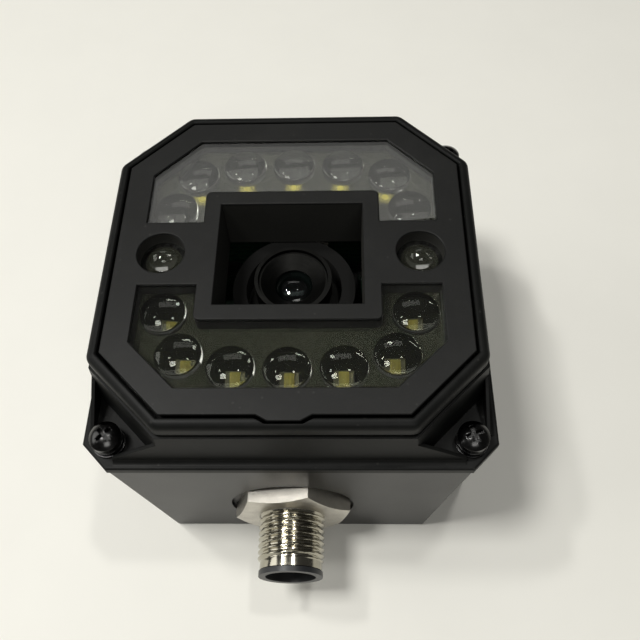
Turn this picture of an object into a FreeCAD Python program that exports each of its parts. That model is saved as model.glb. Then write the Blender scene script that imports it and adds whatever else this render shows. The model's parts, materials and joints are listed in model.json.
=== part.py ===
"""Fixed-mount barcode reader: square housing, octagonal lamp face, round plug connector.

Millimetres. The origin is the middle of the back face, +Z is the way the reader looks and
the connector leaves the housing along -Y.
"""
import FreeCAD
import Part
import math
import os

V = FreeCAD.Vector
ROOT2 = math.sqrt(2)
UP = V(0, 0, 1)
ORIGIN = V(0, 0, 0)

# Front face
overall_height = 48.0
face_half = 32.1
face_corner_cut = 12.0
rim_width = 1.75
rim_crown = 1.35
rim_inner_chamfer = 0.25
rim_corner_radius = 2.2
groove_width = 0.45
shadow_line_depth = 2.8
shadow_line_height = 0.8
shadow_line_cut = 0.4

# Flange, flared sides and corner pockets of the front cover
flange_overhang = 2.3
flange_corner_cut = 4.4
flange_depth = 12.2
flange_thickness = 1.6
flange_edge_radius = 0.4
skirt_lip = 0.3
skirt_ledge = 1.4
cove_radius = 0.9
corner_flare = 1.25
fin_top_reach = 16.5
fin_shoulder_radius = 9.0
fin_end_height = 1.0
fin_end_inset = 1.3
fin_wall = 0.6
cover_wall = 2.1

# Rear housing
body_inset = 0.2
body_draft = 0.3
back_corner_cut = 9.2
back_edge_chamfer = 0.5
front_edge_chamfer = 0.4
wall_thickness = 2.8
floor_thickness = 3.0
boss_wall = 2.9
cover_gasket_offset = 0.6
cover_gasket_width = 1.2
cover_gasket_depth = 1.0

# Mounting holes in the back, M4
mount_spacing = 40.0
mount_hole_radius = 1.65
mount_hole_depth = 6.0
mount_boss_wall = 2.6
mount_hole_floor = 1.2

# Cover screws, M3, with a spring washer and a flat washer
cover_screw_inset = 4.6
cover_screw_radius = 1.5
cover_screw_hole_depth = 8.0
cover_screw_hole_spare = 1.0
cover_screw_clearance = 0.2
cover_screw_head_radius = 2.6
cover_screw_head_side = 1.3
cover_screw_head_crown = 1.2
cover_screw_recess_depth = 1.3
cover_screw_recess_reach = 1.45
cover_screw_recess_width = 0.75
cover_screw_turns = (45.0, 20.0, 70.0, 10.0)
flat_washer_radius = 2.75
flat_washer_thickness = 0.6
spring_washer_radius = 2.65
spring_washer_thickness = 1.1
spring_washer_gap = 0.5

# Mask plate with its key, lamp cut-outs, camera window and aimer holes
mask_thickness = 0.4
mask_edge_chamfer = 0.15
mask_border = 4.5
key_reach = 1.0
key_base_half = 4.3
key_tip_half = 2.5
arm_half = 6.55
frame_border_x = 2.95
frame_border_y = 2.95
frame_corner_radius = 1.0
window_half_x = 12.5
window_half_y = 10.4
aimer_hole_radius = 4.1
aimer_inset = 7.7

# Flat cover glass under the mask, black frame under the glass, and clear plate with a dome over each lamp
cover_glass_thickness = 0.8
window_inset = 0.6
window_thickness = 1.6
window_gasket_thickness = 0.5
window_gasket_width = 1.8
dome_radius = 3.95
dome_collar = 1.4
dome_height = 0.7
dome_shoulder = 0.8
dome_clearance = 0.1
row_inset = 4.55
row_pitch = 9.1
row_middle_step = 0.25
side_inset = 4.35
side_from_arm = 4.25
corner_inset = 4.55
corner_step = 0.45

# Baffle between the clear plate and the lamp board
baffle_height = 2.9
baffle_wall = 0.85
baffle_clearance = 0.15
tunnel_wall = 1.3
tunnel_reach = 2.0
aimer_tube_wall = 1.0
arm_rib = 3.0
sliding_clearance = 0.2

# Lamps and their board
ledge_width = 3.75
board_thickness = 1.6
board_clearance = 0.4
lamp_width = 2.3
lamp_length = 2.8
lamp_height = 0.7
lamp_rim = 0.12
lamp_well = 0.12
aimer_depth = 2.2
aimer_dome_radius = 2.4
aimer_dome_height = 2.1
aimer_flange_thickness = 1.2
aimer_flange_clearance = 0.1
aimer_flange_chamfer = 0.35
aimer_bore_radius = 3.2
aimer_led_radius = 2.2
aimer_led_height = 1.2
aimer_led_dome_radius = 1.5
aimer_led_dome_height = 1.2
led_screw_inset = 4.15
led_screw_from_middle = 9.0
led_screw_radius = 1.0
led_screw_length = 3.5
small_head_radius = 1.9
small_head_height = 1.3

# Camera lens and its holder
lens_depth = 8.4
lens_head_radius = 7.0
lens_head_length = 4.0
lens_shank_radius = 5.9
lens_shank_length = 9.0
lens_mouth_radius = 6.35
lens_mouth_depth = 2.8
front_lens_radius = 3.8
front_lens_edge = 1.5
front_lens_crown = 1.1
front_ring_recess = 0.7
front_ring_lip = 0.35
iris_radius = 2.0
iris_thickness = 1.5
rear_lens_radius = 3.8
rear_lens_thickness = 2.0
glass_clearance = 0.05
thread_clearance = 0.1
lock_ring_radius = 8.2
lock_ring_thickness = 1.5
holder_gap = 0.3
holder_radius = 11.3
holder_bore_radius = 8.8
holder_bore_depth = 4.7
holder_base_half = 12.0
holder_base_thickness = 2.5
holder_pocket_half = 8.0
holder_pocket_depth = 3.0

# Sensor board, main board and what stands on them
sensor_board_depth = 27.0
sensor_chip_half_x = 6.5
sensor_chip_half_y = 5.5
sensor_chip_height = 1.5
post_height = 4.5
post_radius = 3.0
spacer_from_holder = 1.9
spacer_across_flats = 4.5
spacer_stud_radius = 1.2
spacer_stud_length = 5.5
board_hole_clearance = 0.15
sensor_screw_length = 4.0
main_board_gap = 3.6
processor_half = 8.0
processor_height = 1.6
processor_y = 2.0
memory_half_x = 4.0
memory_half_y = 6.0
memory_height = 1.1
choke_half = 4.0
choke_height = 3.5
part_gap = 3.0
header_half_x = 7.0
header_half_y = 2.0
ribbon_half_x = 5.0
ribbon_thickness = 0.3
ribbon_entry = 2.0
ribbon_socket_half_x = 6.0
ribbon_socket_half_y = 1.6
ribbon_socket_height = 4.5

# Round plug connector, M12 thread outside, M16 thread through the wall
connector_height = 14.75
connector_aside = -0.6
connector_turn = 9.0
connector_seat_sink = 0.7
hex_across_flats = 19.0
hex_thickness = 3.2
hex_chamfer = 0.6
hex_seat_clearance = 0.3
barrel_radius = 6.0
barrel_length = 9.8
barrel_bore_radius = 5.0
nose_radius = 5.6
nose_length = 1.5
insert_rim_radius = 5.75
insert_rim_length = 0.9
insert_mouth_radius = 4.5
insert_floor_depth = 9.0
insert_clearance = 0.05
gland_radius = 8.0
gland_clearance = 0.15
gland_past_nut = 0.3
nut_across_flats = 21.0
nut_thickness = 3.0
nut_turn = 30.0
seal_radius = 8.7
seal_width = 1.1
seal_depth = 0.8
pin_radius = 0.4
pin_length = 6.5
outer_pin_circle = 2.75
inner_pin_circle = 1.0
outer_pin_count = 9
inner_pin_count = 3
pin_tail = 1.7
connector_board_thickness = 1.2
connector_board_half_x = 8.0
connector_board_top = 8.0
io_socket_half_x = 9.0
io_socket_wall = 1.4
io_socket_floor = 0.8
io_socket_clearance = 0.4

# Heights that follow from the sizes above
mask_bottom = overall_height - mask_thickness
glass_bottom = mask_bottom - cover_glass_thickness
dome_foot = glass_bottom - dome_clearance - dome_height
window_top = dome_foot - dome_collar
window_bottom = window_top - window_thickness
ledge_top = window_bottom - window_gasket_thickness
aimer_base = overall_height - aimer_depth
aimer_seat = aimer_base - aimer_flange_thickness
led_board_top = window_bottom - baffle_height
led_board_bottom = led_board_top - board_thickness
tunnel_bottom = led_board_bottom - tunnel_reach
flange_top = overall_height - flange_depth
parting = flange_top - flange_thickness
shadow_line_top = overall_height - shadow_line_depth
skirt_top = shadow_line_top - shadow_line_height
sensor_board_top = overall_height - sensor_board_depth
sensor_board_bottom = sensor_board_top - board_thickness
main_board_bottom = floor_thickness + post_height
main_board_top = main_board_bottom + board_thickness
lens_front = overall_height - lens_depth
lens_head_bottom = lens_front - lens_head_length
lens_shank_bottom = lens_head_bottom - lens_shank_length
holder_top = tunnel_bottom - holder_gap
holder_shelf = holder_top - holder_bore_depth


def grown(outline, distance):
    """Octagon, as half width and corner cut, with all eight sides moved out."""
    half, cut = outline
    return half + distance, cut + distance * (2 - ROOT2)


def with_corner_plane(half, corner_sum):
    """Octagon whose 45 degree sides lie on x + y = corner_sum."""
    return half, 2 * half - corner_sum


def corner_sum(outline):
    half, cut = outline
    return 2 * half - cut


FACE = (face_half, face_corner_cut)
RECESS = grown(FACE, -rim_width)
MASK = grown(RECESS, -groove_width)
WINDOW = grown(MASK, -window_inset)
CUTOUT = grown(MASK, -mask_border)
LEDGE = grown(RECESS, -ledge_width)
BAFFLE = grown(LEDGE, -baffle_clearance)
COVER_CAVITY = grown(FACE, -cover_wall)
LED_BOARD = grown(COVER_CAVITY, -board_clearance)
flange_half = face_half + flange_overhang
FLANGE = (flange_half, flange_corner_cut)
SKIRT_TOP = grown(FACE, skirt_lip)
foot_sum = corner_sum(FACE) + corner_flare * ROOT2
SKIRT_FOOT = with_corner_plane(flange_half - skirt_ledge, foot_sum)
fin_end = flange_half - flange_corner_cut - fin_end_inset
body_front_half = flange_half - body_inset
body_back_half = body_front_half - body_draft
BODY_FRONT = (body_front_half, flange_corner_cut)
BODY_BACK = (body_back_half, back_corner_cut)
cover_screw_place = flange_half - cover_screw_inset
cavity_half = body_back_half - wall_thickness
boss_sum = 2 * cover_screw_place - (cover_screw_radius + boss_wall) * ROOT2
CAVITY = with_corner_plane(cavity_half, boss_sum)
frame_half_x = window_half_x + frame_border_x
frame_half_y = window_half_y + frame_border_y
tunnel_half_x = window_half_x + tunnel_wall
tunnel_half_y = window_half_y + tunnel_wall
aimer_place = MASK[0] - aimer_inset
aimer_tube_radius = aimer_hole_radius + aimer_tube_wall
aimer_passage_radius = aimer_tube_radius + sliding_clearance
led_screw_place = FACE[0] - led_screw_inset
connector_seat = body_back_half - connector_seat_sink
gland_end = cavity_half - nut_thickness - gland_past_nut
connector_board_face = gland_end - pin_tail
connector_board_back = connector_board_face - connector_board_thickness
MAIN_BOARD = grown(CAVITY, -main_board_gap)
sensor_board_half = connector_board_back - part_gap
spacer_place = holder_base_half + spacer_from_holder


def octagon_wire(outline, z):
    half, cut = outline
    near = half - cut
    ring = [(near, -half), (half, -near), (half, near), (near, half),
            (-near, half), (-half, near), (-half, -near), (-near, -half)]
    points = [V(x, y, z) for x, y in ring]
    return Part.makePolygon(points + points[:1])


def octagon_prism(outline, low, high):
    return Part.Face(octagon_wire(outline, low)).extrude(UP * (high - low))


def octagon_loft(low_outline, low, high_outline, high):
    wires = [octagon_wire(low_outline, low), octagon_wire(high_outline, high)]
    return Part.makeLoft(wires, True, True)


def octagon_ring(outer, inner, low, high):
    return octagon_prism(outer, low, high).cut(octagon_prism(inner, low, high))


def block(half_x, half_y, low, high, x=0.0, y=0.0):
    corner = V(x - half_x, y - half_y, low)
    return Part.makeBox(2 * half_x, 2 * half_y, high - low, corner)


def cylinder(radius, low, high, x=0.0, y=0.0):
    return Part.makeCylinder(radius, high - low, V(x, y, low))


def outline_prism(points, low, high):
    corners = [V(x, y, low) for x, y in points]
    return Part.Face(Part.makePolygon(corners + corners[:1])).extrude(UP * (high - low))


def turned(points):
    """Solid of revolution about Z from (radius, height) points."""
    corners = [V(radius, 0, height) for radius, height in points]
    return Part.Face(Part.makePolygon(corners + corners[:1])).revolve(ORIGIN, UP, 360)


def dome(radius, sag, base):
    """Ball cap standing on the height base."""
    ball = (radius ** 2 + sag ** 2) / (2 * sag)
    middle = base + sag - ball
    half_angle = math.acos((ball - sag) / ball) / 2
    rim = V(radius, 0, base)
    waist = V(ball * math.sin(half_angle), 0, middle + ball * math.cos(half_angle))
    top = V(0, 0, base + sag)
    arc = Part.Arc(rim, waist, top).toShape()
    sides = Part.makePolygon([top, V(0, 0, base), rim])
    return Part.Face(Part.Wire([arc] + sides.Edges)).revolve(ORIGIN, UP, 360)


def moved(shape, x, y, z=0.0):
    copy = shape.copy()
    copy.translate(V(x, y, z))
    return copy


def spun(shape, angle):
    copy = shape.copy()
    copy.rotate(ORIGIN, UP, angle)
    return copy


def four_corners(place):
    return [(sx * place, sy * place) for sy in (-1, 1) for sx in (-1, 1)]


def at_corners(shape, place):
    return [moved(shape, x, y) for x, y in four_corners(place)]


def hexagon(across_flats, low, high, turn=0.0):
    """Hexagon prism, one corner at the angle turn from +Y towards +X."""
    radius = across_flats / math.sqrt(3)
    angles = [math.radians(turn + 60 * k) for k in range(6)]
    points = [(radius * math.sin(a), radius * math.cos(a)) for a in angles]
    return outline_prism(points, low, high)


def level_edges(shape, z):
    return [e for e in shape.Edges if all(abs(v.Z - z) < 1e-6 for v in e.Vertexes)]


def upright_edges(shape):
    return [e for e in shape.Edges if len(e.Vertexes) == 2
            and abs(e.Vertexes[0].X - e.Vertexes[1].X) < 1e-6
            and abs(e.Vertexes[0].Y - e.Vertexes[1].Y) < 1e-6]


def four_sides(shape):
    return [spun(shape, 90 * k) for k in range(4)]


def key_tab(outline_half, spread, low, high):
    """Tab on the near side that keys the mask into the rim."""
    root = outline_half - groove_width
    tip = outline_half + key_reach
    points = [(-key_base_half - spread, -root), (-key_base_half - spread, -outline_half),
              (-key_tip_half - spread, -tip), (key_tip_half + spread, -tip),
              (key_base_half + spread, -outline_half), (key_base_half + spread, -root)]
    return outline_prism(points, low, high)


def lamp_places():
    """Middles of the fourteen lamps, upper half first, from left to right."""
    row = CUTOUT[0] - row_inset
    side = (CUTOUT[0] - side_inset, arm_half + side_from_arm)
    slant = corner_sum(CUTOUT) / 2 - corner_inset / ROOT2
    right = [(row_pitch, row), (slant - corner_step, slant + corner_step), side]
    half_ring = [(-x, y) for x, y in reversed(right)] + [(0.0, row + row_middle_step)] + right
    return half_ring + [(x, -y) for x, y in half_ring]


def rim():
    body = octagon_prism(FACE, skirt_top, overall_height)
    body = body.makeFillet(rim_corner_radius, upright_edges(body))
    body = body.makeFillet(rim_crown, level_edges(body, overall_height))
    inner = grown(FACE, -shadow_line_cut)
    return body.cut(octagon_ring(grown(FACE, rim_width), inner, skirt_top, shadow_line_top))


def fin_outline():
    """Plate with the fin's front view: level over the skirt, sloping down past its corners."""
    tip = flange_top + fin_end_height
    front = [(-fin_end, flange_top), (-fin_end, tip), (-fin_top_reach, skirt_top),
             (fin_top_reach, skirt_top), (fin_end, tip), (fin_end, flange_top)]
    corners = [V(x, -flange_half, z) for x, z in front]
    plate = Part.Face(Part.makePolygon(corners + corners[:1])).extrude(V(0, flange_half, 0))
    shoulders = [e for e in plate.Edges if abs(e.Vertexes[0].X - e.Vertexes[1].X) < 1e-6
                 and abs(abs(e.Vertexes[0].X) - fin_top_reach) < 1e-6]
    return plate.makeFillet(fin_shoulder_radius, shoulders)


def side_fin():
    """Thin wall that carries the near facet of the skirt out past both corner pockets."""
    foot = SKIRT_FOOT[0]
    top = SKIRT_TOP[0]
    section = [V(-fin_end, -foot, flange_top), V(-fin_end, -top, skirt_top),
               V(-fin_end, fin_wall - top, skirt_top), V(-fin_end, fin_wall - foot, flange_top)]
    wall = Part.Face(Part.makePolygon(section + section[:1])).extrude(V(2 * fin_end, 0, 0))
    return wall.common(fin_outline())


def cove():
    """Hollow rounding where the near facet of the skirt meets the flange."""
    foot = SKIRT_FOOT[0]
    lean = (foot - SKIRT_TOP[0]) * cove_radius / (skirt_top - flange_top)
    outer = foot - lean + cove_radius
    length = 2 * fin_end
    width = outer - foot + fin_wall / 2
    strip = Part.makeBox(length, width, cove_radius, V(-fin_end, -outer, flange_top))
    start = V(-fin_end, -outer, flange_top + cove_radius)
    return strip.cut(Part.makeCylinder(cove_radius, length, start, V(1, 0, 0)))


def cover_outside():
    flange = octagon_prism(FLANGE, parting, flange_top)
    flange = flange.makeFillet(flange_edge_radius, level_edges(flange, flange_top))
    skirt = octagon_loft(SKIRT_FOOT, flange_top, SKIRT_TOP, skirt_top)
    sides = four_sides(side_fin()) + four_sides(cove())
    return flange.multiFuse([skirt, rim()] + sides)


def front_cover():
    chamfer_low = overall_height - rim_inner_chamfer
    cuts = [octagon_prism(RECESS, ledge_top, overall_height),
            octagon_loft(RECESS, chamfer_low, grown(RECESS, rim_inner_chamfer), overall_height),
            key_tab(RECESS[0], groove_width, ledge_top, overall_height),
            octagon_prism(LEDGE, led_board_top, ledge_top),
            octagon_prism(COVER_CAVITY, parting, led_board_top)]
    hole = cylinder(cover_screw_radius + cover_screw_clearance, parting, flange_top)
    washer_room = cylinder(flat_washer_radius + cover_screw_clearance, flange_top, skirt_top)
    cuts += at_corners(hole, cover_screw_place) + at_corners(washer_room, cover_screw_place)
    cuts += led_screw_holes(led_board_top, led_board_bottom + led_screw_length)
    for side in (-1, 1):
        cuts.append(cylinder(aimer_passage_radius, led_board_top, ledge_top, side * aimer_place))
    return cover_outside().cut(Part.makeCompound(cuts)).removeSplitter()


def led_screw_places():
    return [(sx * led_screw_place, sy * led_screw_from_middle) for sx in (-1, 1) for sy in (-1, 1)]


def led_screw_holes(low, high):
    radius = led_screw_radius + board_hole_clearance
    return [cylinder(radius, low, high, x, y) for x, y in led_screw_places()]


def rear_housing():
    body = octagon_loft(BODY_BACK, 0, BODY_FRONT, parting)
    body = body.makeChamfer(back_edge_chamfer, level_edges(body, 0))
    body = body.makeChamfer(front_edge_chamfer, level_edges(body, parting))
    body = body.cut(octagon_prism(CAVITY, floor_thickness, parting))
    post = cylinder(post_radius, floor_thickness, main_board_bottom)
    boss_radius = mount_hole_radius + mount_boss_wall
    boss = cylinder(boss_radius, floor_thickness, mount_hole_depth + mount_hole_floor)
    pads = at_corners(post, spacer_place) + at_corners(boss, mount_spacing / 2)
    body = body.multiFuse(pads)
    groove = octagon_ring(*gasket_outlines(), parting - cover_gasket_depth, parting)
    tapped = cylinder(cover_screw_radius, parting - cover_screw_hole_depth, parting)
    stud_hole = cylinder(spacer_stud_radius, main_board_top - spacer_stud_length, main_board_bottom)
    mount_hole = cylinder(mount_hole_radius, 0, mount_hole_depth)
    cuts = [groove] + at_corners(tapped, cover_screw_place) + at_corners(stud_hole, spacer_place)
    cuts += at_corners(mount_hole, mount_spacing / 2) + connector_cuts()
    return body.cut(Part.makeCompound(cuts)).removeSplitter()


def gasket_outlines():
    inner = grown(CAVITY, cover_gasket_offset)
    return grown(inner, cover_gasket_width), inner


def cover_gasket():
    return octagon_ring(*gasket_outlines(), parting - cover_gasket_depth, parting)


def lamp_openings(low, high):
    """Openings for both rows of lamps, round the camera window's frame and its two arms."""
    frame = block(frame_half_x, frame_half_y, low, high)
    frame = frame.makeFillet(frame_corner_radius, upright_edges(frame))
    arms = block(CUTOUT[0], arm_half, low, high)
    return octagon_prism(CUTOUT, low, high).cut(frame.fuse(arms))


def mask_plate():
    key = key_tab(MASK[0], 0, mask_bottom, overall_height)
    plate = octagon_prism(MASK, mask_bottom, overall_height).fuse(key).removeSplitter()
    window = block(window_half_x, window_half_y, mask_bottom, overall_height)
    cuts = [lamp_openings(mask_bottom, overall_height), window]
    for side in (-1, 1):
        cuts.append(cylinder(aimer_hole_radius, mask_bottom, overall_height, side * aimer_place))
    plate = plate.cut(Part.makeCompound(cuts))
    return plate.makeChamfer(mask_edge_chamfer, level_edges(plate, overall_height))


def tunnel_passage(low, high):
    return block(tunnel_half_x + sliding_clearance, tunnel_half_y + sliding_clearance, low, high)


def face_passages(low, high):
    """Holes that let the camera tunnel and both aimer tubes through a plate."""
    tubes = [cylinder(aimer_passage_radius, low, high, side * aimer_place) for side in (-1, 1)]
    return Part.makeCompound([tunnel_passage(low, high)] + tubes)


def cover_glass():
    plate = octagon_prism(WINDOW, glass_bottom, mask_bottom)
    return plate.cut(face_passages(glass_bottom, mask_bottom))


def glass_frame():
    """Black frame with the mask's openings, which keeps the domes off the cover glass."""
    plate = octagon_prism(WINDOW, window_top, glass_bottom)
    plate = plate.cut(face_passages(window_top, glass_bottom))
    return plate.cut(lamp_openings(window_top, glass_bottom))


def lens_window():
    """Plate with a domed lens on a round collar over each lamp."""
    plate = octagon_prism(WINDOW, window_bottom, window_top)
    plate = plate.cut(face_passages(window_bottom, window_top))
    collar = cylinder(dome_radius, window_top, dome_foot)
    lens = collar.fuse(dome(dome_radius, dome_height, dome_foot)).removeSplitter()
    lens = lens.makeFillet(dome_shoulder, level_edges(lens, dome_foot))
    lenses = [moved(lens, x, y) for x, y in lamp_places()]
    return plate.multiFuse(lenses).removeSplitter()


def window_gasket():
    outer = WINDOW
    return octagon_ring(outer, grown(outer, -window_gasket_width), ledge_top, window_bottom)


def light_baffle():
    ring = octagon_ring(BAFFLE, grown(BAFFLE, -baffle_wall), led_board_top, window_bottom)
    tunnel = block(tunnel_half_x, tunnel_half_y, tunnel_bottom, mask_bottom)
    arm_length = BAFFLE[0] - baffle_wall / 2
    pieces = [tunnel, block(arm_length, arm_rib / 2, led_board_top, window_bottom)]
    bores = [block(window_half_x, window_half_y, tunnel_bottom, mask_bottom)]
    for side in (-1, 1):
        pieces.append(cylinder(aimer_tube_radius, led_board_top, mask_bottom, side * aimer_place))
        bores.append(cylinder(aimer_bore_radius, led_board_top, aimer_seat, side * aimer_place))
        bores.append(cylinder(aimer_hole_radius, aimer_seat, mask_bottom, side * aimer_place))
    return ring.multiFuse(pieces).cut(Part.makeCompound(bores)).removeSplitter()


def led_board():
    board = octagon_prism(LED_BOARD, led_board_bottom, led_board_top)
    passage = tunnel_passage(led_board_bottom, led_board_top)
    return board.cut(Part.makeCompound([passage] + led_screw_holes(led_board_bottom, led_board_top)))


def lamp(x, y):
    half_x = lamp_width / 2
    half_y = lamp_length / 2
    top = led_board_top + lamp_height
    body = block(half_x, half_y, led_board_top, top, x, y)
    return body.cut(block(half_x - lamp_rim, half_y - lamp_rim, top - lamp_well, top, x, y))


def aimer_lens(side):
    """Clear lens with a flange that sits on a step in the aimer tube."""
    edge = aimer_hole_radius - aimer_flange_clearance
    flange = turned([(0, aimer_seat), (edge, aimer_seat), (edge, aimer_base - aimer_flange_chamfer),
                     (edge - aimer_flange_chamfer, aimer_base), (0, aimer_base)])
    cap = dome(aimer_dome_radius, aimer_dome_height, aimer_base)
    return moved(flange.fuse(cap), side * aimer_place, 0)


def aimer_led(side):
    top = led_board_top + aimer_led_height
    body = cylinder(aimer_led_radius, led_board_top, top)
    cap = dome(aimer_led_dome_radius, aimer_led_dome_height, top)
    return moved(body.fuse(cap), side * aimer_place, 0)


def pan_screw(seat, shank_radius, length, head_radius, side_height, crown):
    """Screw that points down, with the underside of its head at the height seat."""
    shank = cylinder(shank_radius, seat - length, seat)
    head = cylinder(head_radius, seat, seat + side_height)
    return shank.multiFuse([head, dome(head_radius, crown, seat + side_height)])


def cross_recess(top):
    half = cover_screw_recess_width / 2
    low = top - cover_screw_recess_depth
    bar = block(cover_screw_recess_reach, half, low, top)
    return bar.fuse(block(half, cover_screw_recess_reach, low, top))


def ring_washer(outer, inner, low, high):
    return cylinder(outer, low, high).cut(cylinder(inner, low, high))


def split_washer(outer, inner, low, high):
    gap = Part.makeBox(outer, spring_washer_gap, high - low, V(0, -spring_washer_gap / 2, low))
    return ring_washer(outer, inner, low, high).cut(gap)


def cover_fasteners():
    spring_low = flange_top + flat_washer_thickness
    seat = spring_low + spring_washer_thickness
    hole = cover_screw_radius + cover_screw_clearance
    length = cover_screw_hole_depth - cover_screw_hole_spare + seat - parting
    screw = pan_screw(seat, cover_screw_radius, length, cover_screw_head_radius,
                      cover_screw_head_side, cover_screw_head_crown)
    screw = screw.cut(cross_recess(seat + cover_screw_head_side + cover_screw_head_crown))
    flat = ring_washer(flat_washer_radius, hole, flange_top, spring_low)
    spring = split_washer(spring_washer_radius, hole, spring_low, seat)
    corners = zip(four_corners(cover_screw_place), cover_screw_turns)
    screws = [moved(spun(screw, turn), x, y) for (x, y), turn in corners]
    return {"cover_screws": Part.makeCompound(screws),
            "flat_washers": Part.makeCompound(at_corners(flat, cover_screw_place)),
            "spring_washers": Part.makeCompound(at_corners(spring, cover_screw_place))}


def led_board_screws():
    """Screws that point up through the lamp board into the ledge of the cover."""
    shank = cylinder(led_screw_radius, led_board_bottom, led_board_bottom + led_screw_length)
    head = cylinder(small_head_radius, led_board_bottom - small_head_height, led_board_bottom)
    screw = shank.fuse(head)
    return Part.makeCompound([moved(screw, x, y) for x, y in led_screw_places()])


def lens_barrel():
    mouth_floor = lens_front - lens_mouth_depth
    glass_floor = mouth_floor - front_lens_edge
    iris_floor = glass_floor - iris_thickness
    glass_bore = front_lens_radius + glass_clearance
    rear_bore = rear_lens_radius + glass_clearance
    return turned([(lens_mouth_radius, lens_front), (lens_head_radius, lens_front),
                   (lens_head_radius, lens_head_bottom), (lens_shank_radius, lens_head_bottom),
                   (lens_shank_radius, lens_shank_bottom), (rear_bore, lens_shank_bottom),
                   (rear_bore, iris_floor), (iris_radius, iris_floor), (iris_radius, glass_floor),
                   (glass_bore, glass_floor), (glass_bore, mouth_floor), (lens_mouth_radius, mouth_floor)])


def lens_front_ring():
    mouth_floor = lens_front - lens_mouth_depth
    outer = lens_mouth_radius - thread_clearance
    top = lens_front - front_ring_recess
    lip = front_lens_radius - front_ring_lip
    return turned([(lip, mouth_floor), (outer, mouth_floor), (outer, top), (outer - front_ring_lip, top),
                   (lip, mouth_floor + front_ring_lip)])


def front_lens():
    floor = lens_front - lens_mouth_depth - front_lens_edge
    edge = cylinder(front_lens_radius, floor, floor + front_lens_edge)
    clear = front_lens_radius - front_ring_lip - glass_clearance
    return edge.fuse(dome(clear, front_lens_crown, floor + front_lens_edge))


def rear_lens():
    ceiling = lens_front - lens_mouth_depth - front_lens_edge - iris_thickness
    return cylinder(rear_lens_radius, ceiling - rear_lens_thickness, ceiling)


def lens_lock_ring():
    return ring_washer(lock_ring_radius, lens_shank_radius + thread_clearance,
                       holder_shelf, holder_shelf + lock_ring_thickness)


def lens_holder():
    foot = sensor_board_top
    base = block(holder_base_half, holder_base_half, foot, foot + holder_base_thickness)
    tower = cylinder(holder_radius, foot, holder_top)
    thread = cylinder(lens_shank_radius + thread_clearance, foot, holder_top)
    bore = cylinder(holder_bore_radius, holder_shelf, holder_top)
    pocket = block(holder_pocket_half, holder_pocket_half, foot, foot + holder_pocket_depth)
    return base.fuse(tower).cut(Part.makeCompound([thread, bore, pocket]))


def image_sensor():
    top = sensor_board_top + sensor_chip_height
    return block(sensor_chip_half_x, sensor_chip_half_y, sensor_board_top, top)


def spacer_holes(low):
    hole = cylinder(spacer_stud_radius + board_hole_clearance, low, low + board_thickness)
    return Part.makeCompound(at_corners(hole, spacer_place))


def sensor_board():
    board = block(sensor_board_half, sensor_board_half, sensor_board_bottom, sensor_board_top)
    return board.cut(spacer_holes(sensor_board_bottom))


def main_board():
    board = octagon_prism(MAIN_BOARD, main_board_bottom, main_board_top)
    return board.cut(spacer_holes(main_board_bottom))


def board_spacers():
    """Hexagon pillars: a stud below through the main board, a tapped hole above."""
    pillar = hexagon(spacer_across_flats, main_board_top, sensor_board_bottom)
    stud = cylinder(spacer_stud_radius, main_board_top - spacer_stud_length, main_board_top)
    hole = cylinder(spacer_stud_radius, sensor_board_top - sensor_screw_length, sensor_board_bottom)
    return Part.makeCompound(at_corners(pillar.fuse(stud).cut(hole), spacer_place))


def sensor_board_screws():
    shank = cylinder(spacer_stud_radius, sensor_board_top - sensor_screw_length, sensor_board_top)
    head = cylinder(small_head_radius, sensor_board_top, sensor_board_top + small_head_height)
    return Part.makeCompound(at_corners(shank.fuse(head), spacer_place))


def standing(half_x, half_y, height, x, y):
    """Component on the upper face of the main board."""
    return block(half_x, half_y, main_board_top, main_board_top + height, x, y)


def board_parts():
    """Chips and the link between the two boards, standing on the main board."""
    beside = processor_half + part_gap
    header_y = processor_y + processor_half + part_gap / 2 + header_half_y
    header_height = sensor_board_bottom - main_board_top
    memory_x = beside + memory_half_x
    choke_x = -beside - choke_half
    return {"processor_chip": standing(processor_half, processor_half, processor_height, 0, processor_y),
            "memory_chip": standing(memory_half_x, memory_half_y, memory_height, memory_x, processor_y),
            "power_choke": standing(choke_half, choke_half, choke_height, choke_x, processor_y),
            "stacking_header": standing(header_half_x, header_half_y, header_height, 0, header_y)}


def led_link():
    """Flat ribbon between the lamp board and the sensor board, with a socket on each."""
    y = holder_base_half + part_gap + ribbon_socket_half_y
    low_top = sensor_board_top + ribbon_socket_height
    high_bottom = led_board_bottom - ribbon_socket_height
    low_end = low_top - ribbon_entry
    high_end = high_bottom + ribbon_entry
    ribbon = block(ribbon_half_x, ribbon_thickness / 2, low_end, high_end, 0, y)
    lower = block(ribbon_socket_half_x, ribbon_socket_half_y, sensor_board_top, low_top, 0, y)
    upper = block(ribbon_socket_half_x, ribbon_socket_half_y, high_bottom, led_board_bottom, 0, y)
    return {"led_ribbon": ribbon,
            "lower_ribbon_socket": lower.cut(ribbon),
            "upper_ribbon_socket": upper.cut(ribbon)}


def facing_out(shape):
    """Turns a piece made along Z so that it points out of the housing through the near wall."""
    copy = shape.copy()
    copy.rotate(ORIGIN, V(1, 0, 0), 90)
    copy.translate(V(connector_aside, 0, connector_height))
    return copy


def connector_cuts():
    seat_radius = hex_across_flats / math.sqrt(3) + hex_seat_clearance
    seat = cylinder(seat_radius, connector_seat, flange_half)
    passage = cylinder(gland_radius + gland_clearance, cavity_half - wall_thickness, flange_half)
    return [facing_out(seat), facing_out(passage)]


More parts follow.
